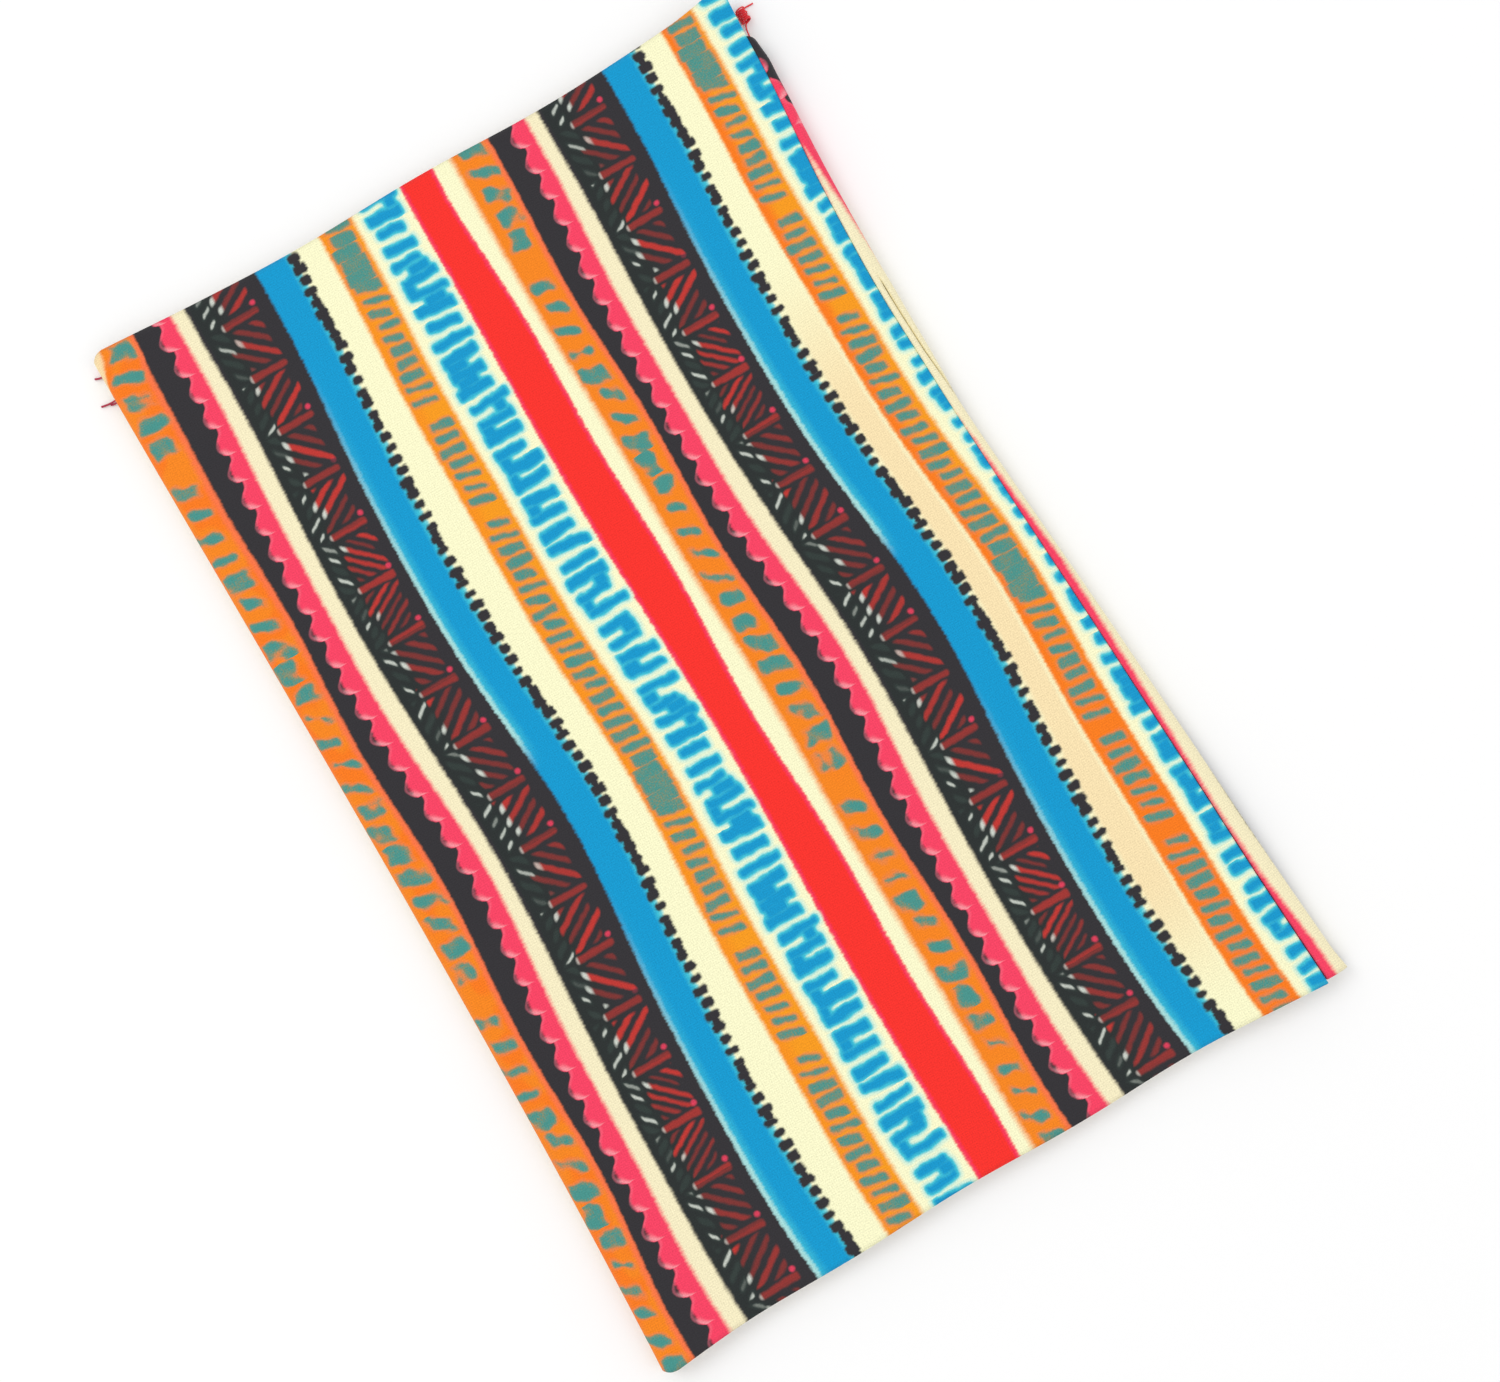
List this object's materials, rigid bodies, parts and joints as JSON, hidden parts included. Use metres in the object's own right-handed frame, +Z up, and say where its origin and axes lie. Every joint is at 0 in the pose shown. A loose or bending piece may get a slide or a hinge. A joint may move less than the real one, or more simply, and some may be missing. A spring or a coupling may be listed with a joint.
{
  "type": "neck gaiter",
  "caption": "Printed stretch-knit neck tube, lying flat and empty, closed by one overlocked side seam with a loose thread tail, and open at both mouths.",
  "frame": {"origin": "middle of the flat underside, on the surface that the tube lies on", "axes": "+Y along the tube towards the mouth with the thread tail, +X across it towards the seam edge, +Z up out of the front"},
  "size_m": [0.2556, 0.38, 0.0072],
  "materials": {
    "printed_knit": "matte stretch knit, printed outside in lengthwise stripes of orange, red, pink, blue, black and cream, unprinted cream inside",
    "seam_thread": "soft red textured overlock thread"
  },
  "bodies": {
    "root": {"front_layer": "printed_knit", "back_layer": "printed_knit", "left_needle_thread": "seam_thread", "right_needle_thread": "seam_thread", "upper_looper_thread": "seam_thread", "lower_looper_thread": "seam_thread", "thread_tail_lead": "seam_thread", "thread_tail_coil": "seam_thread", "thread_tail_end": "seam_thread", "thread_end_1": "seam_thread", "thread_end_2": "seam_thread", "thread_end_3": "seam_thread"}
  },
  "joints": []
}
